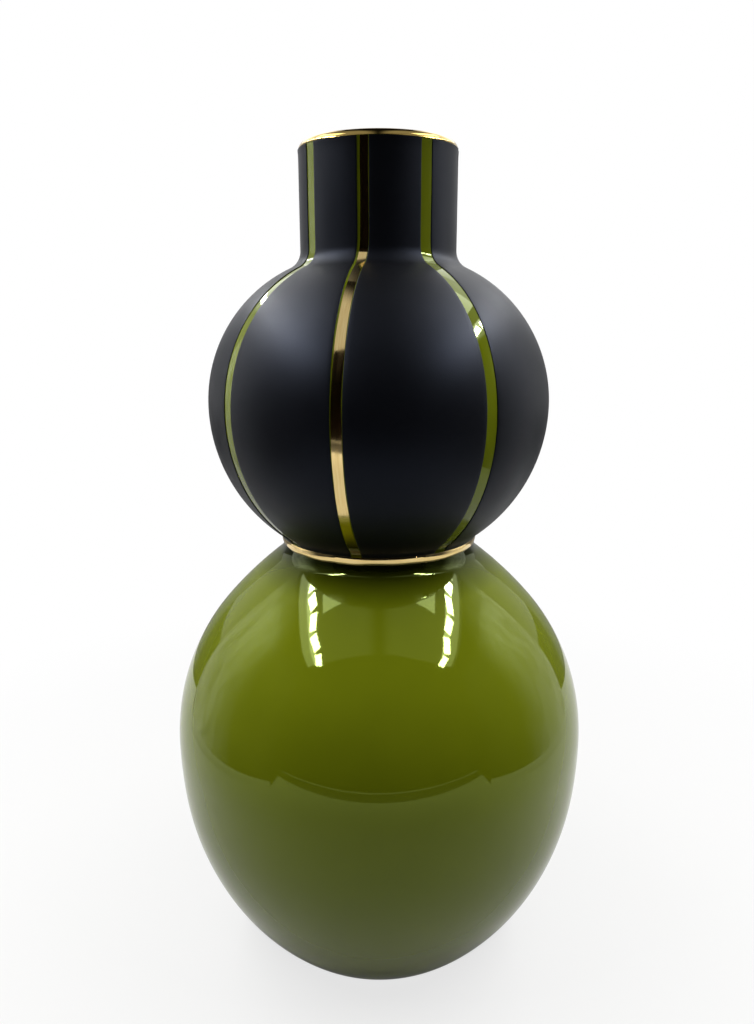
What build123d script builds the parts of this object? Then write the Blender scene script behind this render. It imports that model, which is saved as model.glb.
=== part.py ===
"""Double gourd vase of glazed stoneware.

Two clay sections, a globe and a smaller bulb with a neck, meet in a stepped joint at the waist and
are held there by slip. A green glaze covers the outside and another lines the inside. Matt black
panels stand on the glaze of the upper gourd, with narrow lines of green left open between them.
Gold lustre covers the lip, the waist and every second line.
"""
import os
from dataclasses import dataclass, replace
from math import atan2, cos, degrees, radians, sin, sqrt

from build123d import *

# Layers, from the inside out
wall = 5.5  # clay wall
glaze = 0.5  # green glaze outside, and the lining inside
black_coat = 0.3  # black panels on the glaze
lustre = 0.3  # gold on the lip and on the lines
waist_lustre = 0.6  # gold on the waist, which is laid on thicker
coat_seat = 0.05  # hairline between the glaze and the coats painted on it

# Lower gourd, measured on its glaze
globe_radius = 105.0  # widest radius, and the sphere above it
globe_level = 113.0  # height of the widest point
side_arc = 236.0  # flatter side just below the widest point
side_turn = 5.7  # degrees that this side turns
base_arc = 143.5  # long curve from the side to the heel
heel_radius = 4.0  # rounding under the long curve
crown_turn = 41.0  # degrees of the sphere before the shoulder takes over
shoulder_arc = 200.0  # straighter shoulder below the waist

# Waist
waist_radius = 48.1  # narrowest radius
waist_fillet = 8.5  # hollow curve between the gourds
band_low_turn = 8.0  # degrees below the narrowest point where the gold band begins
band_top_turn = 23.0  # degrees above the narrowest point where the gold band ends

# Upper gourd, neck and lip, measured on the glaze under the black
bulb_radius = 81.5  # widest radius
bulb_rise = 67.9  # widest point above the waist
bulb_top_arc = 69.1  # curve from the widest point to the neck
neck_bend = 8.9  # hollow curve at the foot of the neck
neck_radius = 36.2
neck_length = 39.4  # straight part of the neck
flare_radius = 40.0  # slight flare under the lip
flare_turn = 5.0  # degrees of the flare
lip_gold_turn = 5.0  # degrees above the level of the lip's centre where its gold begins

# Lines in the black
line_count = 8
line_width = 5.7  # gap between two panels where the green shows
gold_line_width = 5.2  # gap that is painted with gold
gold_margin = 0.4  # green left on either side of the gold
front_line = -90.0  # degrees from +X of the gold line at the front
gold_step = 2  # a gold line on every second gap

# Joint between the two clay sections
lap = 6.0  # height of the step in the wall
slip = 0.6  # layer of slip

# Underside
foot_height = 1.0  # ground to the underside of the heel
foot_inset = 1.5  # foot ring inside the lowest point of the heel
foot_width = 9.0
foot_recess = 4.0  # hollow inside the foot ring
foot_chamfer = 0.6
floor_thickness = 7.0
floor_fillet = 14.0  # inside, between floor and wall
glaze_stop_turn = 80.0  # degrees of the heel that are glazed, below level


@dataclass
class Arc:
    """Arc of the outline, from its lower to its upper end. A hollow one has its centre outside the vase."""

    center: tuple
    radius: float
    start: float
    stop: float
    hollow: bool = False

    def reach(self, depth):
        return self.radius + depth if self.hollow else self.radius - depth

    def at(self, angle, depth):
        return shifted(self.center, self.reach(depth), angle)

    def low(self, depth):
        return self.at(self.start, depth)

    def high(self, depth):
        return self.at(self.stop, depth)

    def draw(self, depth):
        CenterArc(self.center, self.reach(depth), self.start, self.stop - self.start)


@dataclass
class Upright:
    """Straight part of the outline, parallel to the axis."""

    radius: float
    start: float
    stop: float

    def low(self, depth):
        return (self.radius - depth, self.start)

    def high(self, depth):
        return (self.radius - depth, self.stop)

    def draw(self, depth):
        Line(self.low(depth), self.high(depth))


def shifted(point, distance, angle):
    return (point[0] + distance * cos(radians(angle)), point[1] + distance * sin(radians(angle)))


def bearing(point, target):
    return degrees(atan2(target[1] - point[1], target[0] - point[0]))


# Centres of the outline's arcs, as radius and height, each arc tangent to the next
side_center = (globe_radius - side_arc, globe_level)
base_center = shifted(side_center, side_arc - base_arc, -side_turn)
heel_level = foot_height + heel_radius
heel_spread = sqrt((base_arc - heel_radius) ** 2 - (base_center[1] - heel_level) ** 2)
heel_center = (base_center[0] + heel_spread, heel_level)
globe_center = (0.0, globe_level)
shoulder_center = shifted(globe_center, globe_radius - shoulder_arc, crown_turn)
waist_reach = waist_radius + waist_fillet
waist_climb = sqrt((shoulder_arc + waist_fillet) ** 2 - (waist_reach - shoulder_center[0]) ** 2)
waist_center = (waist_reach, shoulder_center[1] + waist_climb)
bulb_level = waist_center[1] + bulb_rise
bulb_spread = bulb_radius - waist_reach
bulb_base_arc = (bulb_spread**2 + bulb_rise**2 - waist_fillet**2) / (2 * (bulb_spread + waist_fillet))
bulb_base_center = (bulb_radius - bulb_base_arc, bulb_level)
bulb_top_center = (bulb_radius - bulb_top_arc, bulb_level)
bend_reach = neck_radius + neck_bend
bend_climb = sqrt((bulb_top_arc + neck_bend) ** 2 - (bend_reach - bulb_top_center[0]) ** 2)
bend_center = (bend_reach, bulb_level + bend_climb)
neck_top = bend_center[1] + neck_length
flare_center = (neck_radius + flare_radius, neck_top)
lip_radius = glaze + wall / 2
lip_center = shifted(flare_center, flare_radius + lip_radius, 180 - flare_turn)

# Outline of the glaze from the heel to the lip
heel = Arc(heel_center, heel_radius, -90.0, bearing(base_center, heel_center))
base = Arc(base_center, base_arc, heel.stop, -side_turn)
side = Arc(side_center, side_arc, -side_turn, 0.0)
globe = Arc(globe_center, globe_radius, 0.0, crown_turn)
shoulder = Arc(shoulder_center, shoulder_arc, crown_turn, bearing(shoulder_center, waist_center))
waist = Arc(waist_center, waist_fillet, shoulder.stop + 180, bearing(waist_center, bulb_base_center), True)
bulb_base = Arc(bulb_base_center, bulb_base_arc, waist.stop - 180, 0.0)
bulb_top = Arc(bulb_top_center, bulb_top_arc, 0.0, bearing(bulb_top_center, bend_center))
bend = Arc(bend_center, neck_bend, bulb_top.stop + 180, 180.0, True)
neck = Upright(neck_radius, bend_center[1], neck_top)
flare = Arc(flare_center, flare_radius, 180.0, 180 - flare_turn, True)
lip = Arc(lip_center, lip_radius, -flare_turn, 180 - flare_turn)
lower_outline = [base, side, globe, shoulder]
upper_outline = [bulb_base, bulb_top, bend, neck, flare]

# Inside: the same curves one wall further in, down to a rounded corner at the floor
clay_depth = glaze + wall
lined_depth = clay_depth + glaze
floor_level = foot_recess + floor_thickness
corner_level = floor_level + floor_fillet
corner_spread = sqrt((base_arc - clay_depth - floor_fillet) ** 2 - (base_center[1] - corner_level) ** 2)
corner_center = (base_center[0] + corner_spread, corner_level)
corner = Arc(corner_center, floor_fillet + clay_depth, -90.0, bearing(base_center, corner_center))
inner_outline = [corner, replace(base, start=corner.stop), side, globe, shoulder, waist, *upper_outline]

# Where the coats begin and end
band_low = 180 + band_low_turn
band_top = 180 - band_top_turn
crown = 90.0
waist_below_band = replace(waist, stop=band_low)
waist_under_band = replace(waist, start=band_low, stop=band_top)
waist_above_band = replace(waist, start=band_top)
lip_below_gold = replace(lip, stop=lip_gold_turn)
lip_outside = replace(lip, start=lip_gold_turn, stop=crown)
lip_inside = replace(lip, start=crown)
black_outline = [waist_above_band, *upper_outline, lip_below_gold]
glazed_outline = [
    replace(heel, start=-glaze_stop_turn),
    *lower_outline,
    waist_below_band,
    waist_under_band,
    *black_outline,
    lip_outside,
]


def coat(outline, outside, inside):
    """Section of a coat that follows the outline between two depths below the glaze's surface."""
    with BuildSketch(Plane.XZ) as section:
        with BuildLine():
            for piece in outline:
                piece.draw(outside)
                piece.draw(inside)
            Line(outline[0].low(outside), outline[0].low(inside))
            Line(outline[-1].high(outside), outline[-1].high(inside))
        make_face()
    return section.sketch


def save(piece, name):
    piece.part.label = name
    export_step(piece.part, f"parts/{name}.step")


os.makedirs("parts", exist_ok=True)

# Section of the whole clay body, before it is divided at the waist
foot_radius = heel_center[0] - foot_inset
foot_inside = foot_radius - foot_width
with BuildSketch(Plane.XZ) as clay:
    with BuildLine():
        for piece in [heel, *lower_outline, waist, *upper_outline, lip]:
            piece.draw(glaze)
        for piece in inner_outline:
            piece.draw(clay_depth)
        Polyline(
            heel.low(glaze),
            (foot_radius, foot_height + glaze),
            (foot_radius, foot_chamfer),
            (foot_radius - foot_chamfer, 0),
            (foot_inside, 0),
            (foot_inside - foot_recess, foot_recess),
            (0, foot_recess),
            (0, floor_level),
            corner.low(clay_depth),
        )
    make_face()

# Step in the wall: the upper section's spigot stands inside the lower section's collar
seam_level = waist.at((band_low + band_top) / 2, 0)[1]
spigot_level = seam_level - lap
step_radius = waist_radius - glaze - wall / 2
beyond = 2 * globe_radius
above = lip_center[1] + beyond


def step_line(shift):
    """Line of the joint from the axis outward, shifted up and in by half the slip, or down and out."""
    return [
        (0, spigot_level + shift),
        (step_radius - shift, spigot_level + shift),
        (step_radius - shift, seam_level + shift),
        (beyond, seam_level + shift),
    ]


with BuildPart() as lower_body:
    with BuildSketch(Plane.XZ):
        add(clay.sketch_local)
        with BuildLine():
            Polyline(*step_line(-slip / 2), (beyond, -beyond), (0, -beyond), close=True)
        make_face(mode=Mode.INTERSECT)
    revolve(axis=Axis.Z)
save(lower_body, "lower_body")

with BuildPart() as upper_body:
    with BuildSketch(Plane.XZ):
        add(clay.sketch_local)
        with BuildLine():
            Polyline(*step_line(slip / 2), (beyond, above), (0, above), close=True)
        make_face(mode=Mode.INTERSECT)
    revolve(axis=Axis.Z)
save(upper_body, "upper_body")

with BuildPart() as luting_slip:
    with BuildSketch(Plane.XZ):
        add(clay.sketch_local)
        with BuildLine():
            Polyline(*step_line(-slip / 2), *reversed(step_line(slip / 2)), close=True)
        make_face(mode=Mode.INTERSECT)
    revolve(axis=Axis.Z)
save(luting_slip, "luting_slip")

# Green glaze from the heel over the waist to the crown of the lip
with BuildPart() as outer_glaze:
    revolve(coat(glazed_outline, 0, glaze), axis=Axis.Z)
save(outer_glaze, "outer_glaze")

# Lining from the crown of the lip down to the floor, which makes the vase hold water
with BuildPart() as inner_glaze:
    with BuildSketch(Plane.XZ):
        with BuildLine():
            for piece in inner_outline:
                piece.draw(clay_depth)
                piece.draw(lined_depth)
            lip_inside.draw(0)
            lip_inside.draw(glaze)
            Line(lip_inside.low(0), lip_inside.low(glaze))
            Polyline(
                corner.low(clay_depth),
                (0, floor_level),
                (0, floor_level + glaze),
                corner.low(lined_depth),
            )
        make_face()
    revolve(axis=Axis.Z)
save(inner_glaze, "inner_glaze")

# Gold on the waist and over the lip
with BuildPart() as waist_band:
    revolve(coat([waist_under_band], -waist_lustre, -coat_seat), axis=Axis.Z)
save(waist_band, "waist_band")

with BuildPart() as lip_band:
    revolve(coat([lip_outside, lip_inside], -lustre, -coat_seat), axis=Axis.Z)
save(lip_band, "lip_band")

# Black panels: sectors of one coat, cut back to half a line on either side
line_step = 360 / line_count


def line_slab(width, mode):
    """Upright slab from the axis outward, as wide as a line."""
    Box(beyond, width, above, align=(Align.MIN, Align.CENTER, Align.MIN), mode=mode)


black_section = coat(black_outline, -black_coat, -coat_seat)
for number in range(line_count):
    first = front_line + number * line_step
    with BuildPart() as black_panel:
        revolve(black_section.rotate(Axis.Z, first), axis=Axis.Z, revolution_arc=line_step)
        for line in (number, number + 1):
            gap = line_width if line % gold_step else gold_line_width
            with Locations(Rotation(0, 0, front_line + line * line_step)):
                line_slab(gap, Mode.SUBTRACT)
    save(black_panel, f"black_panel_{number + 1}")

# Gold on every second line, a little narrower than the line so that green shows beside it
gold_section = coat(black_outline, -lustre, -coat_seat)
for number in range(line_count // gold_step):
    middle = front_line + number * gold_step * line_step
    with BuildPart() as gold_stripe:
        first_edge = gold_section.rotate(Axis.Z, middle - line_step / 2)
        revolve(first_edge, axis=Axis.Z, revolution_arc=line_step)
        with Locations(Rotation(0, 0, middle)):
            line_slab(gold_line_width - 2 * gold_margin, Mode.INTERSECT)
    save(gold_stripe, f"gold_stripe_{number + 1}")
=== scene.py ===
from math import asin, atan2, ceil, cos, degrees, pi, radians, sin, sqrt

import bmesh
import bpy
from mathutils import Matrix, Vector, noise


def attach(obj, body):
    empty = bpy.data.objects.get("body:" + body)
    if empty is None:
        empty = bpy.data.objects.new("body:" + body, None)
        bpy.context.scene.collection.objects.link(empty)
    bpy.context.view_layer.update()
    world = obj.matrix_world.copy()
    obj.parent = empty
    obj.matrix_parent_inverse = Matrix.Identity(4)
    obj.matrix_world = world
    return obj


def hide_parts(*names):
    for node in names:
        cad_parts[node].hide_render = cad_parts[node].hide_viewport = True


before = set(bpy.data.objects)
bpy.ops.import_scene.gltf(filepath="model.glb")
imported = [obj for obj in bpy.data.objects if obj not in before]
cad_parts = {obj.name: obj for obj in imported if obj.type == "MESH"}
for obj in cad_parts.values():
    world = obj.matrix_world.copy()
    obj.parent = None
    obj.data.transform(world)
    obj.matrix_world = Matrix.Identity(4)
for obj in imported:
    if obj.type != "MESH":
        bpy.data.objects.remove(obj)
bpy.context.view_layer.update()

# Clay body: two stoneware sections, thrown on the wheel and luted together with slip at the waist.
# Glaze covers all of it but the foot ring, which is wiped clean so that the vase doesn't stick in
# the kiln. The sections and the slip between them keep their solids and only get their materials.
clay_color = "#CDBD9F"
clay_shade = "#B09C7C"
speck_color = "#6B5138"
slip_color = "#BFB096"
turning_ring = 0.9  # mm between the marks of the turning tool
clay_grit = 0.35  # mm across a grain
iron_speck = 2.2  # mm between specks
clay_cloud, slip_cloud = 18.0, 6.0  # mm across the patches where the colour drifts


def linear(color):
    """Linear colour of an sRGB hex value."""
    channels = [int(color[i : i + 2], 16) / 255 for i in (1, 3, 5)]
    return [c / 12.92 if c <= 0.04045 else ((c + 0.055) / 1.055) ** 2.4 for c in channels] + [1.0]


def per_metre(size):
    """Scale of a pattern whose features are this many millimetres apart."""
    return 1000 / size


def finish(name):
    """New material, with its node tree and its shader."""
    material = bpy.data.materials.new(name)
    material.use_nodes = True
    return material, material.node_tree, material.node_tree.nodes["Principled BSDF"]


def node(tree, kind, inputs, **settings):
    """Node with its settings and inputs: a socket is linked, anything else is set as a value."""
    made = tree.nodes.new(kind)
    for name, value in settings.items():
        setattr(made, name, value)
    for name, value in inputs.items():
        if isinstance(value, bpy.types.NodeSocket):
            tree.links.new(value, made.inputs[name])
        else:
            made.inputs[name].default_value = value
    return made


# Stoneware fired bare: dull and dry to the eye, buff, with tool rings, grit and a few iron specks
stoneware, tree, shader = finish("turned_stoneware")
place = node(tree, "ShaderNodeTexCoord", {}).outputs["Object"]
cloud = node(tree, "ShaderNodeTexNoise", {"Vector": place, "Scale": per_metre(clay_cloud), "Detail": 3.0})
buff = node(
    tree,
    "ShaderNodeMix",
    {0: cloud.outputs[0], 6: linear(clay_color), 7: linear(clay_shade)},
    data_type="RGBA",
)
iron = node(tree, "ShaderNodeTexVoronoi", {"Vector": place, "Scale": per_metre(iron_speck)})
speck = node(
    tree,
    "ShaderNodeMapRange",
    {"Value": iron.outputs["Distance"], "From Min": 0.08, "From Max": 0.2, "To Min": 0.8, "To Max": 0.0},
)
specked = node(
    tree,
    "ShaderNodeMix",
    {0: speck.outputs[0], 6: buff.outputs[2], 7: linear(speck_color)},
    data_type="RGBA",
)
rings = node(
    tree,
    "ShaderNodeTexWave",
    {"Vector": place, "Scale": per_metre(turning_ring) / 20, "Distortion": 0.6, "Detail": 1.0},
    wave_type="RINGS",
    rings_direction="Z",
)
grit = node(tree, "ShaderNodeTexNoise", {"Vector": place, "Scale": per_metre(clay_grit)})
tooling = node(
    tree, "ShaderNodeBump", {"Height": rings.outputs[1], "Strength": 0.5, "Distance": 0.00012}
)
rough = node(
    tree,
    "ShaderNodeBump",
    {"Height": grit.outputs[0], "Strength": 0.6, "Distance": 0.0001, "Normal": tooling.outputs[0]},
)
tree.links.new(specked.outputs[2], shader.inputs["Base Color"])
tree.links.new(rough.outputs[0], shader.inputs["Normal"])
shader.inputs["Roughness"].default_value = 0.85

# Luting slip: the same clay thinned with water, so it is finer and a little greyer than the body
slip, tree, shader = finish("luting_slip")
place = node(tree, "ShaderNodeTexCoord", {}).outputs["Object"]
cloud = node(tree, "ShaderNodeTexNoise", {"Vector": place, "Scale": per_metre(slip_cloud), "Detail": 2.0})
grey = node(
    tree,
    "ShaderNodeMix",
    {0: cloud.outputs[0], 6: linear(slip_color), 7: linear(clay_shade)},
    data_type="RGBA",
)
tree.links.new(grey.outputs[2], shader.inputs["Base Color"])
shader.inputs["Roughness"].default_value = 0.9

for piece, clay in (("lower_body", stoneware), ("upper_body", stoneware), ("luting_slip", slip)):
    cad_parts[piece].data.materials.clear()
    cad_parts[piece].data.materials.append(clay)

# Green glaze: glass melted over the whole outside, from the heel across the waist to the lip.
# The piece is dipped, so the coat is even, with a slow waviness where the melt ran and settled.
glaze = 0.5
wall = 5.5
globe_radius = 105.0
globe_level = 113.0
side_arc = 236.0
side_turn = 5.7
base_arc = 143.5
heel_radius = 4.0
heel_level = 5.0
heel_stop = -80.0
crown_turn = 41.0
shoulder_arc = 200.0
waist_radius = 48.1
waist_fillet = 8.5
bulb_radius = 81.5
bulb_rise = 67.9
bulb_top_arc = 69.1
neck_bend = 8.9
neck_radius = 36.2
neck_length = 39.4
flare_radius = 40.0
flare_turn = 5.0
row_spacing = 2.5  # mm between rows of the mesh, where the curve is slow
row_turn = 4.0  # degrees between rows, where it is quick
segments = 240
back_step = 4  # the hidden side of a coat has every fourth row
sharp_edge = radians(40)
green = "#575F0A"
green_deep = "#4C5407"
# painted shade: near-black green for the collar just under the waist, in the shade of the bulb
green_shaded_under_bulb = "#121602"
glaze_sheen = "#E6FF94"  # the melt tints what it mirrors
wave_height = 0.10  # mm of waviness in the melt
wave_length = 34.0  # mm
glaze_drift = 45.0  # mm across the patches of deeper green
orange_peel = 2.5  # mm across a ripple
shade_foot, shade_head = 199.0, 213.0  # heights in mm over which the painted shade under the bulb darkens the glaze
shade_end, shade_gone = 216.0, 222.0  # heights in mm over which that painted shade ends, under the black
sunk = 0.12  # mm that the coats over the glaze reach below its surface, past the waviness


def shifted(point, distance, angle):
    return (point[0] + distance * cos(radians(angle)), point[1] + distance * sin(radians(angle)))


def bearing(point, target):
    return degrees(atan2(target[1] - point[1], target[0] - point[0]))


def arc(center, radius, start, stop, hollow=False):
    """Rows on the glaze along one arc: radius, height, and the direction that faces out of the clay."""
    turn = abs(stop - start)
    steps = ceil(max(radians(turn) * radius / row_spacing, turn / row_turn))
    facing = -1 if hollow else 1
    rows = []
    for step in range(steps + 1):
        angle = radians(start + (stop - start) * step / steps)
        out, up = cos(angle), sin(angle)
        rows.append((center[0] + radius * out, center[1] + radius * up, facing * out, facing * up))
    return rows


def joined(*runs):
    """Runs of rows end to end, with the row where two meet kept once."""
    return [row for number, run in enumerate(runs) for row in run[min(number, 1) :]]


def raised(row, height):
    return (row[0] + height * row[2], row[1] + height * row[3])


side_center = (globe_radius - side_arc, globe_level)
base_center = shifted(side_center, side_arc - base_arc, -side_turn)
heel_spread = sqrt((base_arc - heel_radius) ** 2 - (base_center[1] - heel_level) ** 2)
heel_center = (base_center[0] + heel_spread, heel_level)
heel_end = bearing(base_center, heel_center)
globe_center = (0.0, globe_level)
shoulder_center = shifted(globe_center, globe_radius - shoulder_arc, crown_turn)
waist_reach = waist_radius + waist_fillet
waist_climb = sqrt((shoulder_arc + waist_fillet) ** 2 - (waist_reach - shoulder_center[0]) ** 2)
waist_center = (waist_reach, shoulder_center[1] + waist_climb)
shoulder_end = bearing(shoulder_center, waist_center)
bulb_level = waist_center[1] + bulb_rise
bulb_spread = bulb_radius - waist_reach
bulb_base_arc = (bulb_spread**2 + bulb_rise**2 - waist_fillet**2) / (2 * (bulb_spread + waist_fillet))
bulb_base_center = (bulb_radius - bulb_base_arc, bulb_level)
bulb_top_center = (bulb_radius - bulb_top_arc, bulb_level)
waist_end = bearing(waist_center, bulb_base_center)
bend_reach = neck_radius + neck_bend
bend_climb = sqrt((bulb_top_arc + neck_bend) ** 2 - (bend_reach - bulb_top_center[0]) ** 2)
bend_center = (bend_reach, bulb_level + bend_climb)
bulb_end = bearing(bulb_top_center, bend_center)
neck_top = bend_center[1] + neck_length
flare_center = (neck_radius + flare_radius, neck_top)
lip_radius = glaze + wall / 2
lip_center = shifted(flare_center, flare_radius + lip_radius, 180 - flare_turn)

heel = arc(heel_center, heel_radius, heel_stop, heel_end)
base = arc(base_center, base_arc, heel_end, -side_turn)
side = arc(side_center, side_arc, -side_turn, 0)
globe = arc(globe_center, globe_radius, 0, crown_turn)
shoulder = arc(shoulder_center, shoulder_arc, crown_turn, shoulder_end)
waist = arc(waist_center, waist_fillet, shoulder_end + 180, waist_end, hollow=True)
bulb_base = arc(bulb_base_center, bulb_base_arc, waist_end - 180, 0)
bulb_top = arc(bulb_top_center, bulb_top_arc, 0, bulb_end)
bend = arc(bend_center, neck_bend, bulb_end + 180, 180, hollow=True)
neck_steps = ceil(neck_length / row_spacing)
neck = [(neck_radius, bend_center[1] + neck_length * i / neck_steps, 1, 0) for i in range(neck_steps + 1)]
flare = arc(flare_center, flare_radius, 180, 180 - flare_turn, hollow=True)
lip = arc(lip_center, lip_radius, -flare_turn, 90)
upper_rows = joined(bulb_base, bulb_top, bend, neck, flare)
glazed_rows = joined(heel, base, side, globe, shoulder, waist, upper_rows, lip)


def skin(name, loops, wrap):
    """Mesh through closed loops of points in mm: round the axis, or end to end with a cap on each."""
    lengths = [[0.0] for loop in loops]
    for length, loop in zip(lengths, loops):
        for here, after in zip(loop, loop[1:] + loop[:1]):
            length.append(length[-1] + (Vector(after) - Vector(here)).length)
    travel = [0.0]
    for here, after in zip(loops, loops[1:] + loops[:1]):
        travel.append(travel[-1] + (Vector(after[0]) - Vector(here[0])).length)
    surface = bmesh.new()
    rings = [[surface.verts.new(Vector(point) / 1000) for point in loop] for loop in loops]
    chart = surface.loops.layers.uv.new("laid_out")
    for ring in range(len(rings) if wrap else len(rings) - 1):
        after = (ring + 1) % len(rings)
        for point in range(len(rings[ring])):
            beyond = (point + 1) % len(rings[ring])
            face = surface.faces.new(
                (rings[ring][point], rings[ring][beyond], rings[after][beyond], rings[after][point])
            )
            across = lengths[ring][point], lengths[ring][point + 1]
            along = travel[ring], travel[ring + 1]
            corners = zip(face.loops, (0, 1, 1, 0), (0, 0, 1, 1))
            for corner, step_across, step_along in corners:
                corner[chart].uv = (across[step_across] / 1000, along[step_along] / 1000)
    if not wrap:
        surface.faces.new(rings[0])
        surface.faces.new(rings[-1])
    bmesh.ops.remove_doubles(surface, verts=surface.verts, dist=1e-7)
    bmesh.ops.recalc_face_normals(surface, faces=surface.faces)
    for face in surface.faces:
        face.smooth = True
    for edge in surface.edges:
        edge.smooth = edge.calc_face_angle(0) < sharp_edge
    mesh = bpy.data.meshes.new(name)
    surface.to_mesh(mesh)
    surface.free()
    piece = bpy.data.objects.new(name, mesh)
    bpy.context.scene.collection.objects.link(piece)
    return piece


def turned(point, angle):
    """Point of a section, turned round the axis."""
    return (point[0] * cos(angle), point[0] * sin(angle), point[1])


def melt(point, angle):
    """Height of the glaze's surface here, in mm: never above its own outline."""
    spot = Vector(turned(point, angle)) / wave_length
    return wave_height / 2 * (noise.noise(spot) - 1)


back_rows = [*glazed_rows[::-back_step], glazed_rows[0]]
glaze_loops = []
for segment in range(segments):
    angle = 2 * pi * segment / segments
    front = [turned(raised(row, melt(row, angle)), angle) for row in glazed_rows]
    glaze_loops.append(front + [turned(raised(row, -glaze), angle) for row in back_rows])
outer_glaze = skin("green_glaze", glaze_loops, wrap=True)

# Glossy stoneware glaze: smooth coloured glass, so a deep green with sharp reflections, painted almost black
# as shade in the collar under the bulb, and an orange-peel ripple that only the highlights show
green_glaze, tree, shader = finish("glossy_green_glaze")
place = node(tree, "ShaderNodeTexCoord", {}).outputs["Object"]
drift = node(tree, "ShaderNodeTexNoise", {"Vector": place, "Scale": per_metre(glaze_drift), "Detail": 2.0})
tint = node(
    tree,
    "ShaderNodeMix",
    {0: drift.outputs[0], 6: linear(green), 7: linear(green_deep)},
    data_type="RGBA",
)
height = node(tree, "ShaderNodeSeparateXYZ", {"Vector": place}).outputs["Z"]
shade_rise = node(
    tree,
    "ShaderNodeMapRange",
    {"Value": height, "From Min": shade_foot / 1000, "From Max": shade_head / 1000},
)
shade_fade_out = node(
    tree,
    "ShaderNodeMapRange",
    {
        "Value": height,
        "From Min": shade_end / 1000,
        "From Max": shade_gone / 1000,
        "To Min": 1.0,
        "To Max": 0.0,
    },
)
# how much painted shade the glaze takes at this height
depth = node(
    tree, "ShaderNodeMath", {0: shade_rise.outputs[0], 1: shade_fade_out.outputs[0]}, operation="MULTIPLY"
)
shaded_green = node(
    tree,
    "ShaderNodeMix",
    {0: depth.outputs[0], 6: tint.outputs[2], 7: linear(green_shaded_under_bulb)},
    data_type="RGBA",
)
peel = node(tree, "ShaderNodeTexNoise", {"Vector": place, "Scale": per_metre(orange_peel), "Detail": 1.0})
ripple = node(
    tree, "ShaderNodeBump", {"Height": peel.outputs[0], "Strength": 0.05, "Distance": 0.0001}
)
tree.links.new(shaded_green.outputs[2], shader.inputs["Base Color"])
tree.links.new(ripple.outputs[0], shader.inputs["Normal"])
shader.inputs["Roughness"].default_value = 0.04
shader.inputs["IOR"].default_value = 1.5
shader.inputs["Specular Tint"].default_value = linear(glaze_sheen)
outer_glaze.data.materials.append(green_glaze)
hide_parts("outer_glaze")
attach(outer_glaze, "root")

# Lining: the same glaze poured in and swilled round, from the lip down to the floor.
# Under it the rings that the potter's fingers left on the inside still show.
floor_level = 11.0
floor_fillet = 14.0
clay_depth = glaze + wall
lined_depth = clay_depth + glaze
throwing_ring = 7.0  # mm between the finger marks
throwing_depth = 0.25  # mm
throwing_fade = 20.0  # mm over which the marks fade out at the floor and at the lip
corner_level = floor_level + floor_fillet
corner_spread = sqrt((base_arc - clay_depth - floor_fillet) ** 2 - (base_center[1] - corner_level) ** 2)
corner_center = (base_center[0] + corner_spread, corner_level)
corner_end = bearing(base_center, corner_center)
corner = arc(corner_center, floor_fillet + clay_depth, -90, corner_end)
inner_base = arc(base_center, base_arc, corner_end, -side_turn)
inner_lip = arc(lip_center, lip_radius, 90, 180 - flare_turn)
inner_rows = joined(corner, inner_base, side, globe, shoulder, waist, upper_rows)
floor_steps = 12
floor_radii = [corner_center[0] * i / floor_steps for i in range(floor_steps)]


def finger_mark(row):
    """Depth of the throwing rings at this height."""
    fade = min(1, (row[1] - corner_level) / throwing_fade, (neck_top - row[1]) / throwing_fade)
    return throwing_depth * max(0, fade) * (1 - cos(2 * pi * row[1] / throwing_ring)) / 2


lining_face = [
    *[(radius, floor_level + glaze) for radius in floor_radii],
    *[raised(row, -lined_depth + finger_mark(row)) for row in inner_rows],
    *[raised(row, 0) for row in inner_lip[-2::-1]],
]
lining_back = [
    *[raised(row, -glaze) for row in inner_lip],
    *[raised(row, -clay_depth) for row in inner_rows[-2::-back_step]],
    (0.0, floor_level),
]
lining_loops = []
for segment in range(segments):
    angle = 2 * pi * segment / segments
    lining_loops.append([turned(point, angle) for point in lining_face + lining_back])
lining = skin("green_lining", lining_loops, wrap=True)
lining.data.materials.append(green_glaze)
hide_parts("inner_glaze")
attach(lining, "root")

# Black panels: eight fields of matt enamel on the bulb and the neck, sprayed on over strips of tape.
# Pulling the tape leaves eight even lines of bare glaze, with a soft rounded edge on either side.
black_coat = 0.28
line_count = 8
line_width = 5.7
gold_line_width = 5.2
line_step = 2 * pi / line_count
gold_step = 2  # a gold line on every second place
front_line = -pi / 2
band_top = 157.0
lip_gold_turn = 5.0
edge_round = 0.22
edge_steps = 4
panel_columns = 26
tape_wander = 0.1  # mm that the tape's edge strays
tape_wave = 22.0  # mm over which it strays
line_strays = [  # degrees that each line stands off its even place: mid bulb, top of the bulb, neck
    (-1.5, -1.5, 0.3),
    (0.3, 0.9, 0.0),
    (1.0, 2.0, 3.2),
    (-0.5, 0.1, 0.4),
    (0.4, 0.6, -0.3),
    (-0.8, -0.2, 0.3),
    (0.5, 0.3, -0.4),
    (2.6, 1.4, 1.1),
]
stray_levels = (283.0, 342.0, 358.0)  # heights in mm of those three places
black = "#030304"
black_worn = "#060607"
black_sheen = "#C9D9FF"  # cold tint of the matt surface
enamel_cloud = 25.0  # mm across the patches that the spray left drier
enamel_grain = 0.6  # mm: the real grain is about 0.1 mm, drawn coarser so that it shows
waist_above = arc(waist_center, waist_fillet, band_top, waist_end, hollow=True)
lip_below = arc(lip_center, lip_radius, -flare_turn, lip_gold_turn)
black_rows = joined(waist_above, upper_rows, lip_below)
panel_travel = [0.0]
for here, after in zip(black_rows, black_rows[1:]):
    step_length = sqrt((after[0] - here[0]) ** 2 + (after[1] - here[1]) ** 2)
    panel_travel.append(panel_travel[-1] + step_length)


def wander(travel, size, wave, seed):
    """Slow stray of a masked or painted edge, in mm."""
    return size * noise.noise(Vector((travel / wave, seed * 3.7, 0.5)))


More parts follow.
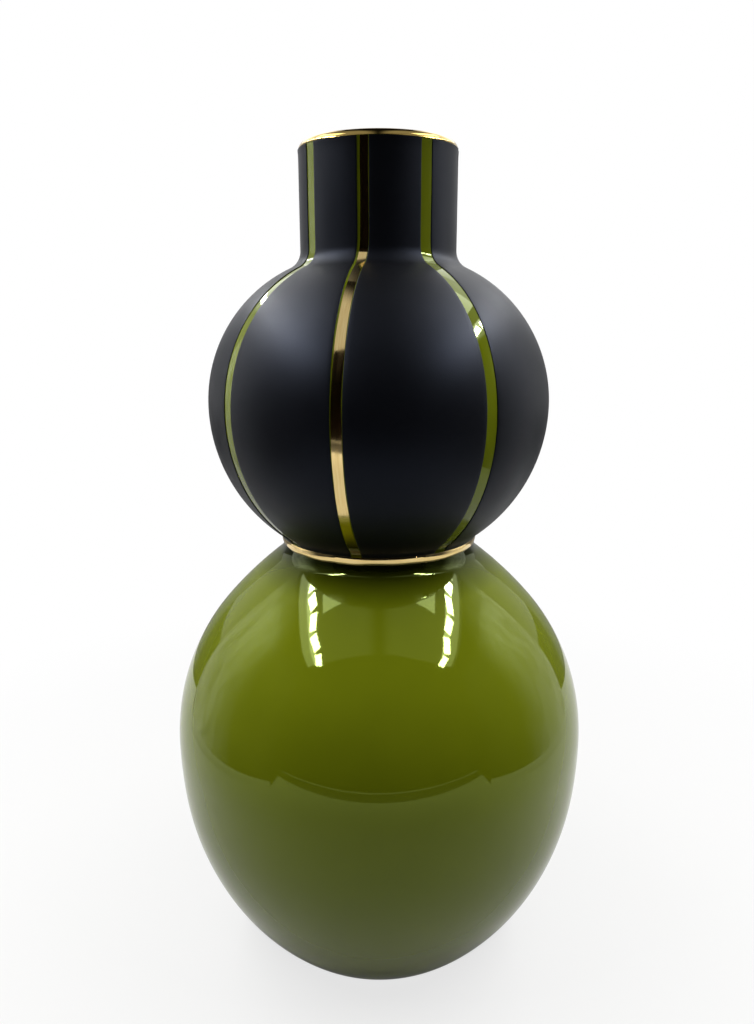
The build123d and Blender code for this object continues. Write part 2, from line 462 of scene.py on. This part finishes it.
def line_place(number, level):
    """Angle of a line round the axis at this height, with the stray that comes from laying tape by eye."""
    strays = line_strays[number % line_count]
    stray = strays[0]
    for low, high, foot, head in zip(strays, strays[1:], stray_levels, stray_levels[1:]):
        climb = min(1, max(0, (level - foot) / (head - foot)))
        stray += (high - low) * climb**2 * (3 - 2 * climb)
    return front_line + number * line_step + radians(stray)


def rounded_end(travel, radius):
    """Share of a coat's height this far along, with both of its ends rounded off."""
    near = min(1, travel / radius, (panel_travel[-1] - travel) / radius)
    return sqrt(1 - (1 - near) ** 2)


edge_curve = []
for step in range(edge_steps + 1):
    turn = pi / 2 * step / edge_steps
    edge_curve.append((edge_round * (1 - cos(turn)), black_coat - edge_round * (1 - sin(turn))))
panels = []
for number in range(line_count):
    panel_loops = []
    for row, travel in zip(black_rows, panel_travel):
        share = rounded_end(travel, edge_round)
        first, last = line_place(number, row[1]), line_place(number + 1, row[1])
        widths = [gold_line_width, line_width][:: 1 if number % gold_step == 0 else -1]
        half = [w / 2 + wander(travel, tape_wander, tape_wave, 2 * number + s) for s, w in enumerate(widths)]
        left, right = [], []
        for inset, height in [(0.0, -sunk), *edge_curve]:
            radius, level = raised(row, height * share if height > 0 else height)
            left.append((radius, first + asin((half[0] + inset) / radius), level))
            right.append((radius, last - asin((half[1] + inset) / radius), level))
        radius, start, level = left[-1]
        sweep = right[-1][1] - start
        middle = [(radius, start + sweep * i / panel_columns, level) for i in range(1, panel_columns)]
        radius, start, level = left[0]
        sweep = right[0][1] - start
        under = [(radius, start + sweep * i / panel_columns, level) for i in range(panel_columns - 1, 0, -1)]
        loop = left + middle + right[::-1] + under
        panel_loops.append([turned((radius, level), angle) for radius, angle, level in loop])
    panels.append(skin(f"black_panel_{number + 1}", panel_loops, wrap=False))

# Matt black enamel: fired with a fine grit in it, so it has no mirror, only a broad cold sheen
black_enamel, tree, shader = finish("matt_black_enamel")
place = node(tree, "ShaderNodeTexCoord", {}).outputs["Object"]
cloud = node(tree, "ShaderNodeTexNoise", {"Vector": place, "Scale": per_metre(enamel_cloud), "Detail": 3.0})
soot = node(
    tree,
    "ShaderNodeMix",
    {0: cloud.outputs[0], 6: linear(black), 7: linear(black_worn)},
    data_type="RGBA",
)
grain = node(tree, "ShaderNodeTexNoise", {"Vector": place, "Scale": per_metre(enamel_grain), "Detail": 2.0})
gritty = node(
    tree, "ShaderNodeBump", {"Height": grain.outputs[0], "Strength": 0.25, "Distance": 0.0001}
)
satin = node(
    tree,
    "ShaderNodeMapRange",
    {"Value": cloud.outputs[0], "From Min": 0.3, "From Max": 0.7, "To Min": 0.43, "To Max": 0.48},
)
tree.links.new(soot.outputs[2], shader.inputs["Base Color"])
tree.links.new(satin.outputs[0], shader.inputs["Roughness"])
tree.links.new(gritty.outputs[0], shader.inputs["Normal"])
shader.inputs["IOR"].default_value = 1.5
shader.inputs["Specular IOR Level"].default_value = 0.18
shader.inputs["Specular Tint"].default_value = linear(black_sheen)
for number, panel in enumerate(panels):
    panel.data.materials.append(black_enamel)
    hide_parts(f"black_panel_{number + 1}")
    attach(panel, "root")

# Gold lines: bright gold brushed along every second line after the tape is off, and fired again.
# The brush stays inside the line, so a hair of green glaze shows on either side of the gold.
gold_width = 4.4
gold_count = 4
gold_height = 0.05  # mm of film above the glaze
gold_columns = 6
neck_thinning = 0.9  # mm that the stroke is narrower on the neck, at its left
brush_wander = 0.25  # mm that the brush strays
brush_wave = 14.0  # mm over which it strays
brush_seed = 40
brush_hair = 0.8  # mm between streaks: the real ones are about 0.2 mm, drawn coarser so that they show
gold = "#F4DFA6"
gold_thin = "#D9B66C"
stripes = []
for number in range(gold_count):
    stripe_loops = []
    for row, travel in zip(black_rows, panel_travel):
        middle = line_place(number * gold_step, row[1])
        thinning = neck_thinning * min(1, max(0, (row[1] - bulb_level) / bend_climb)) ** 2
        edges = [
            sign * gold_width / 2 + wander(travel, brush_wander, brush_wave, brush_seed + 2 * number + sign)
            for sign in (-1, 1)
        ]
        edges[0] += thinning
        top, under = [], []
        for column in range(gold_columns + 1):
            offset = edges[0] + (edges[1] - edges[0]) * column / gold_columns
            for line, rise in ((top, gold_height), (under, -2 * sunk)):
                radius, level = raised(row, rise)
                line.append(turned((radius, level), middle + asin(offset / radius)))
        stripe_loops.append(top + under[::-1])
    stripes.append(skin(f"gold_line_{number + 1}", stripe_loops, wrap=False))

# Bright gold: a mirror film of metal on glaze, warm, with faint brush streaks along each stroke
gold_lustre, tree, shader = finish("brushed_gold_lustre")
chart = node(tree, "ShaderNodeTexCoord", {}).outputs["UV"]
stroke = node(tree, "ShaderNodeMapping", {"Vector": chart, "Scale": (1.0, 0.06, 1.0)})
hairs = node(
    tree,
    "ShaderNodeTexNoise",
    {"Vector": stroke.outputs[0], "Scale": per_metre(brush_hair), "Detail": 2.0},
)
film = node(
    tree,
    "ShaderNodeMix",
    {0: hairs.outputs[0], 6: linear(gold), 7: linear(gold_thin)},
    data_type="RGBA",
)
streak = node(
    tree, "ShaderNodeBump", {"Height": hairs.outputs[0], "Strength": 0.08, "Distance": 0.0001}
)
polish = node(
    tree,
    "ShaderNodeMapRange",
    {"Value": hairs.outputs[0], "From Min": 0.3, "From Max": 0.7, "To Min": 0.06, "To Max": 0.14},
)
tree.links.new(film.outputs[2], shader.inputs["Base Color"])
tree.links.new(polish.outputs[0], shader.inputs["Roughness"])
tree.links.new(streak.outputs[0], shader.inputs["Normal"])
shader.inputs["Metallic"].default_value = 1.0
for number, stripe in enumerate(stripes):
    stripe.data.materials.append(gold_lustre)
    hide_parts(f"gold_stripe_{number + 1}")
    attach(stripe, "root")

# Waist band: a ring of the same gold laid on thickly in the hollow between the two gourds.
# It is painted on the turning wheel, with a clean upper edge against the black and a freer lower one.
band_low = 188.0
waist_gold = 0.55
band_rows = 14
band_wander = 9.0  # degrees of the hollow that the lower edge strays
band_loops = []
for segment in range(segments):
    angle = 2 * pi * segment / segments
    spot = Vector((cos(angle), sin(angle), 0.3)) * 3
    start = band_low - band_wander * (0.5 + 0.5 * noise.noise(spot))
    top, under = [], []
    for row in range(band_rows + 1):
        share = row / band_rows
        turn = start + (band_top - start) * share
        height = -sunk + (sunk + waist_gold) * sin(pi * share) ** 0.5
        for line, rise in ((top, height), (under, -2 * sunk)):
            line.append(turned(shifted(waist_center, waist_fillet - rise, turn), angle))
    band_loops.append(top + under[::-1])
waist_band = skin("waist_gold_band", band_loops, wrap=True)
waist_band.data.materials.append(gold_lustre)
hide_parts("waist_band")
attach(waist_band, "root")

# Lip: gold over the rounded rim, from just above the black to a little way down inside.
# The brush runs round the rim on the wheel, so both edges waver slightly.
lip_gold = 0.06
lip_rows = 24
lip_wander = 4.0  # degrees of the rim that the edges stray
# painted shade: darker, browner gold for the rim, whose reflections are dim
rim_shaded_gold = "#BFA766"
rim_shaded_streak = "#8A7038"
lip_loops = []
for segment in range(segments):
    angle = 2 * pi * segment / segments
    spot = Vector((cos(angle), sin(angle), 0.8)) * 2
    start = lip_gold_turn + lip_wander * (0.5 + 0.5 * noise.noise(spot))
    stop = 180 - flare_turn - lip_wander * (0.5 + 0.5 * noise.noise(spot + Vector((0, 0, 5))))
    top, under = [], []
    for row in range(lip_rows + 1):
        turn = start + (stop - start) * row / lip_rows
        for line, rise in ((top, lip_gold), (under, -2 * sunk)):
            line.append(turned(shifted(lip_center, lip_radius + rise, turn), angle))
    lip_loops.append(top + under[::-1])
lip_band = skin("lip_gold_band", lip_loops, wrap=True)

# Rim gold: the same film, painted browner and less bright as shade, so that the rim mirrors its surroundings
# dimly
rim_gold = gold_lustre.copy()
rim_gold.name = "rim_gold_painted_shade"
rim_film = rim_gold.node_tree.nodes[film.name]
rim_film.inputs[6].default_value = linear(rim_shaded_gold)
rim_film.inputs[7].default_value = linear(rim_shaded_streak)
lip_band.data.materials.append(rim_gold)
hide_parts("lip_band")
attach(lip_band, "root")

# Camera: level with the bulb and close to the vase, turned so that the front gold line stands a
# little left of the middle.
view_turn = radians(10.5)
camera_distance = 0.39366
camera_height = 0.32619
camera_pitch = radians(14.035)
camera_roll = radians(-0.1)
camera_data = bpy.data.cameras.new("camera")
camera_data.sensor_width = 36.0
camera_data.lens = 28.125
camera_data.shift_x = -0.0018
camera = bpy.data.objects.new("camera", camera_data)
around = Matrix.Rotation(view_turn, 4, "Z")
stand = Matrix.Translation((0, -camera_distance, camera_height))
tilt = Matrix.Rotation(pi / 2 - camera_pitch, 4, "X") @ Matrix.Rotation(camera_roll, 4, "Z")
camera.matrix_world = around @ stand @ tilt
bpy.context.scene.collection.objects.link(camera)
bpy.context.scene.camera = camera

# Table: plain matt paper, grey as painted shade of the floor round the vase. It and the background show
# white to the camera, and white in reflections too but for a grey patch of painted shade round the vase, and
# the paper keeps a soft shadow of the vase.
table_size = 3.0
# painted shade: grey paper, so that the floor round the vase bounces and mirrors less light
table_color = "#A6A6A4"
table_glow = 0.76  # share of plain white in what the camera sees of the table beside the vase
shadow_near, shadow_far = 0.12, 0.5  # metres over which the table fades to plain white
# painted shade: in reflections the table stays grey near the vase and fades to white further off
mirror_glow = 0.1  # the same share in reflections
mirror_near, mirror_far = 0.2, 0.6  # metres over which it fades to plain white there


def seen(tree):
    """One for rays from the camera, from reflections and through glass, and zero for light rays."""
    path = node(tree, "ShaderNodeLightPath", {})
    shown = node(
        tree,
        "ShaderNodeMath",
        {0: path.outputs["Is Camera Ray"], 1: path.outputs["Is Glossy Ray"]},
        operation="MAXIMUM",
    )
    return node(
        tree,
        "ShaderNodeMath",
        {0: shown.outputs[0], 1: path.outputs["Is Transmission Ray"]},
        operation="MAXIMUM",
    ).outputs[0]


def sheet(name, corners, material):
    """Flat sheet of the stage, from corners in metres as the camera faces it."""
    mesh = bpy.data.meshes.new(name)
    mesh.from_pydata(corners, [], [range(len(corners))])
    made = bpy.data.objects.new(name, mesh)
    made.matrix_world = around
    made.data.materials.append(material)
    bpy.context.scene.collection.objects.link(made)
    return made


table_paper, tree, shader = finish("white_table")
shader.inputs["Base Color"].default_value = linear(table_color)
shader.inputs["Roughness"].default_value = 0.9
shader.inputs["Specular IOR Level"].default_value = 0.0
white = node(tree, "ShaderNodeEmission", {"Strength": 1.0})
place = node(tree, "ShaderNodeTexCoord", {}).outputs["Object"]
distance = node(tree, "ShaderNodeVectorMath", {0: place}, operation="LENGTH")
fade = node(
    tree,
    "ShaderNodeMapRange",
    {
        "Value": distance.outputs["Value"],
        "From Min": shadow_near,
        "From Max": shadow_far,
        "To Min": table_glow,
        "To Max": 1.0,
    },
    interpolation_type="SMOOTHSTEP",
)
path = node(tree, "ShaderNodeLightPath", {})
mirror_fade = node(
    tree,
    "ShaderNodeMapRange",
    {
        "Value": distance.outputs["Value"],
        "From Min": mirror_near,
        "From Max": mirror_far,
        "To Min": mirror_glow,
        "To Max": 1.0,
    },
    interpolation_type="SMOOTHSTEP",
)
shown = node(
    tree,
    "ShaderNodeMix",
    {0: path.outputs["Is Camera Ray"], 2: mirror_fade.outputs[0], 3: fade.outputs[0]},
)
share = node(tree, "ShaderNodeMath", {0: seen(tree), 1: shown.outputs[0]}, operation="MULTIPLY")
output = tree.nodes["Material Output"]
mixed = node(
    tree, "ShaderNodeMixShader", {0: share.outputs[0], 1: shader.outputs[0], 2: white.outputs[0]}
)
tree.links.new(mixed.outputs[0], output.inputs["Surface"])
t = table_size
sheet("table", [(-t, -t, 0), (t, -t, 0), (t, t, 0), (-t, t, 0)], table_paper)

# Room: plain white all round, which lights the vase less than it shows
world = bpy.data.worlds.new("white_room")
world.use_nodes = True
bpy.context.scene.world = world
tree = world.node_tree
room_light = 0.5  # what the room adds to the light on the vase
strength = node(
    tree,
    "ShaderNodeMapRange",
    {"Value": seen(tree), "To Min": room_light, "To Max": 1.0},
)
tree.links.new(strength.outputs[0], tree.nodes["Background"].inputs["Strength"])
tree.nodes["Background"].inputs["Color"].default_value = (1, 1, 1, 1)

# Light tent: creased cloth sides, a dark front where the camera stands, and a glowing top with a dark
# gap over the middle. A row of small lamps runs along each side, with soft ones beside and behind it.
# None of it shows to the camera, but the glaze and the gold mirror it.
cloth_dark, cloth_lit = 0.05, 0.8
cloth_front, cloth_rear = -0.14, 0.06  # metres of depth over which the sides turn from dark to lit
crease_scale = 22.0  # creases in a metre
gap_front = -0.107  # metres of depth behind which the gap in the top widens
gap_slope = 0.5
gap_edge, gap_end = 0.05, 0.125  # metres from the middle over which the gap ends
gap_glow, top_glow = 0.01, 0.58
rear_glow = 0.6
tent_cloth, tree, shader = finish("tent_cloth")
place = node(tree, "ShaderNodeTexCoord", {}).outputs["Object"]
depth = node(tree, "ShaderNodeSeparateXYZ", {"Vector": place}).outputs["Y"]
hung = node(
    tree,
    "ShaderNodeMapRange",
    {
        "Value": depth,
        "From Min": cloth_front,
        "From Max": cloth_rear,
        "To Min": cloth_dark,
        "To Max": cloth_lit,
    },
    interpolation_type="SMOOTHSTEP",
)
stretched = node(tree, "ShaderNodeMapping", {"Vector": place, "Scale": (1.0, 1.0, 0.35)})
creases = node(
    tree,
    "ShaderNodeTexNoise",
    {"Vector": stretched.outputs[0], "Scale": crease_scale, "Detail": 2.0, "Distortion": 1.2},
)
folds = node(
    tree,
    "ShaderNodeMapRange",
    {"Value": creases.outputs[0], "From Min": 0.35, "From Max": 0.7, "To Min": 0.65, "To Max": 1.15},
)
cloth = node(tree, "ShaderNodeMath", {0: hung.outputs[0], 1: folds.outputs[0]}, operation="MULTIPLY")
tree.links.new(cloth.outputs[0], shader.inputs["Base Color"])
shader.inputs["Roughness"].default_value = 1.0
shader.inputs["Specular IOR Level"].default_value = 0.0
dark_cloth, tree, shader = finish("dark_cloth")
shader.inputs["Base Color"].default_value = linear("#241B16")
shader.inputs["Roughness"].default_value = 1.0
shader.inputs["Specular IOR Level"].default_value = 0.0
# painted light: the top sheet glows, with a dark gap over the middle, in place of cloth lit by the lamps
white_cloth, tree, shader = finish("white_cloth")
place = node(tree, "ShaderNodeTexCoord", {}).outputs["Object"]
spot = node(tree, "ShaderNodeSeparateXYZ", {"Vector": place})
aside = node(tree, "ShaderNodeMath", {0: spot.outputs["X"]}, operation="ABSOLUTE")
behind = node(tree, "ShaderNodeMath", {0: spot.outputs["Y"], 1: gap_front}, operation="MAXIMUM")
wedge = node(
    tree,
    "ShaderNodeMath",
    {0: behind.outputs[0], 1: -gap_slope, 2: aside.outputs[0]},
    operation="MULTIPLY_ADD",
)
middle_gap = node(
    tree,
    "ShaderNodeMapRange",
    {
        "Value": wedge.outputs[0],
        "From Min": gap_edge,
        "From Max": gap_end,
        "To Min": gap_glow,
        "To Max": top_glow,
    },
    interpolation_type="SMOOTHSTEP",
)
above = node(tree, "ShaderNodeEmission", {"Strength": middle_gap.outputs[0]})
tree.links.new(above.outputs[0], tree.nodes["Material Output"].inputs["Surface"])
grey_cloth, tree, shader = finish("grey_cloth")
shader.inputs["Base Color"].default_value = linear("#8C8C8C")
shader.inputs["Roughness"].default_value = 1.0
shader.inputs["Specular IOR Level"].default_value = 0.0
# painted light: the rear sheets glow evenly, in place of cloth lit by the lamps
dim_cloth, tree, shader = finish("dim_cloth")
dim = node(tree, "ShaderNodeEmission", {"Strength": rear_glow})
tree.links.new(dim.outputs[0], tree.nodes["Material Output"].inputs["Surface"])
side_rear, side_front = 0.19, -0.32
side_foot, tent_top = 0.03, 0.60
front_edge, front_half, front_foot = -0.8, 0.9, 0.01
shade_sheet_edge, shade_sheet_level = -0.57, 0.002
back_depth, back_top, rear_foot = 0.45, 0.38, 0.22
lamp_level = 0.55
lamp_rows = {"left": (-0.40, -0.283), "right": (0.42, 0.305)}  # where the side and its lamps stand
lamp_count = 9
front_lamps = 5
rear_dimming = 0.45  # share of light from the lamps behind those
lamp_slant = 12  # degrees that the lamps are turned by turns
lamp_first, lamp_pitch = -0.272, 0.076
lamp_length, lamp_width = 0.060, 0.034
lamp_power = 0.43
lamp_spread = radians(138)
soft_lamps = {  # place across and in depth, width and length in metres, watts, spread in degrees
    "rear": (0.20, 0.27, 0.26, 0.36, 0.45, 180),
    "top": (0.205, 0.03, 0.10, 0.30, 0.40, 150),
    "near": (0.325, 0.03, 0.03, 0.68, 0.40, 130),
    "far": (0.365, 0.03, 0.05, 0.68, 0.22, 130),
}
soft_level = 0.585
for name, (wall_x, lamp_x) in lamp_rows.items():
    wing_x = front_half if wall_x > 0 else -front_half
    tent = [
        sheet(
            f"tent_{name}",
            [
                (wall_x, side_front, side_foot),
                (wall_x, side_rear, side_foot),
                (wall_x, side_rear, tent_top),
                (wall_x, side_front, tent_top),
            ],
            tent_cloth,
        ),
        sheet(
            f"wing_{name}",
            [
                (wall_x, side_front, front_foot),
                (wing_x, front_edge, front_foot),
                (wing_x, front_edge, tent_top),
                (wall_x, side_front, tent_top),
            ],
            dark_cloth,
        ),
        sheet(
            f"rear_{name}",
            [
                (wall_x, side_rear, rear_foot),
                (wall_x, back_depth, rear_foot),
                (wall_x, back_depth, tent_top),
                (wall_x, side_rear, tent_top),
            ],
            dim_cloth,
        ),
    ]
    for made in tent:
        made.visible_camera = False
    for number in range(lamp_count):
        lamp_data = bpy.data.lights.new(f"lamp_{name}_{number + 1}", "AREA")
        lamp_data.shape = "RECTANGLE"
        lamp_data.size = lamp_width
        lamp_data.size_y = lamp_length
        lamp_data.energy = lamp_power * (1 if number < front_lamps else rear_dimming)
        lamp_data.spread = lamp_spread
        lamp = bpy.data.objects.new(lamp_data.name, lamp_data)
        spot = Vector((lamp_x, lamp_first + lamp_pitch * number, lamp_level))
        slant = Matrix.Rotation(radians(lamp_slant if number % 2 else -lamp_slant), 4, "Z")
        lamp.matrix_world = around @ Matrix.Translation(spot) @ slant
        lamp.visible_camera = False
        bpy.context.scene.collection.objects.link(lamp)
    for soft_name, (soft_x, soft_y, soft_width, soft_length, soft_power, spread) in soft_lamps.items():
        lamp_data = bpy.data.lights.new(f"soft_{soft_name}_{name}", "AREA")
        lamp_data.shape = "RECTANGLE"
        lamp_data.size = soft_width
        lamp_data.size_y = soft_length
        lamp_data.energy = soft_power
        lamp_data.spread = radians(spread)
        lamp = bpy.data.objects.new(lamp_data.name, lamp_data)
        spot = Vector((soft_x if wall_x > 0 else -soft_x, soft_y, soft_level))
        lamp.matrix_world = around @ Matrix.Translation(spot)
        lamp.visible_camera = False
        bpy.context.scene.collection.objects.link(lamp)
hood = [
    sheet(
        "tent_front",
        [
            (-front_half, front_edge, front_foot),
            (front_half, front_edge, front_foot),
            (front_half, front_edge, tent_top),
            (-front_half, front_edge, tent_top),
        ],
        dark_cloth,
    ),
    sheet(
        "tent_hood",
        [
            (-front_half, front_edge, tent_top),
            (front_half, front_edge, tent_top),
            (lamp_rows["right"][0], side_front, tent_top),
            (lamp_rows["left"][0], side_front, tent_top),
        ],
        dark_cloth,
    ),
    # painted shade: a grey sheet over the front of the table, hidden from the camera, in place of the light
    # falling off on the floor there
    sheet(
        "front_floor_shade",
        [
            (-front_half, front_edge, shade_sheet_level),
            (front_half, front_edge, shade_sheet_level),
            (front_half, shade_sheet_edge, shade_sheet_level),
            (-front_half, shade_sheet_edge, shade_sheet_level),
        ],
        grey_cloth,
    ),
    sheet(
        "tent_back",
        [
            (-front_half, back_depth, 0),
            (front_half, back_depth, 0),
            (front_half, back_depth, back_top),
            (-front_half, back_depth, back_top),
        ],
        grey_cloth,
    ),
    sheet(
        "tent_top",
        [
            (lamp_rows["left"][0], side_front, tent_top),
            (lamp_rows["right"][0], side_front, tent_top),
            (lamp_rows["right"][0], side_rear, tent_top),
            (lamp_rows["left"][0], side_rear, tent_top),
        ],
        white_cloth,
    ),
]
for made in hood:
    made.visible_camera = False

bpy.context.scene.view_settings.view_transform = "Standard"
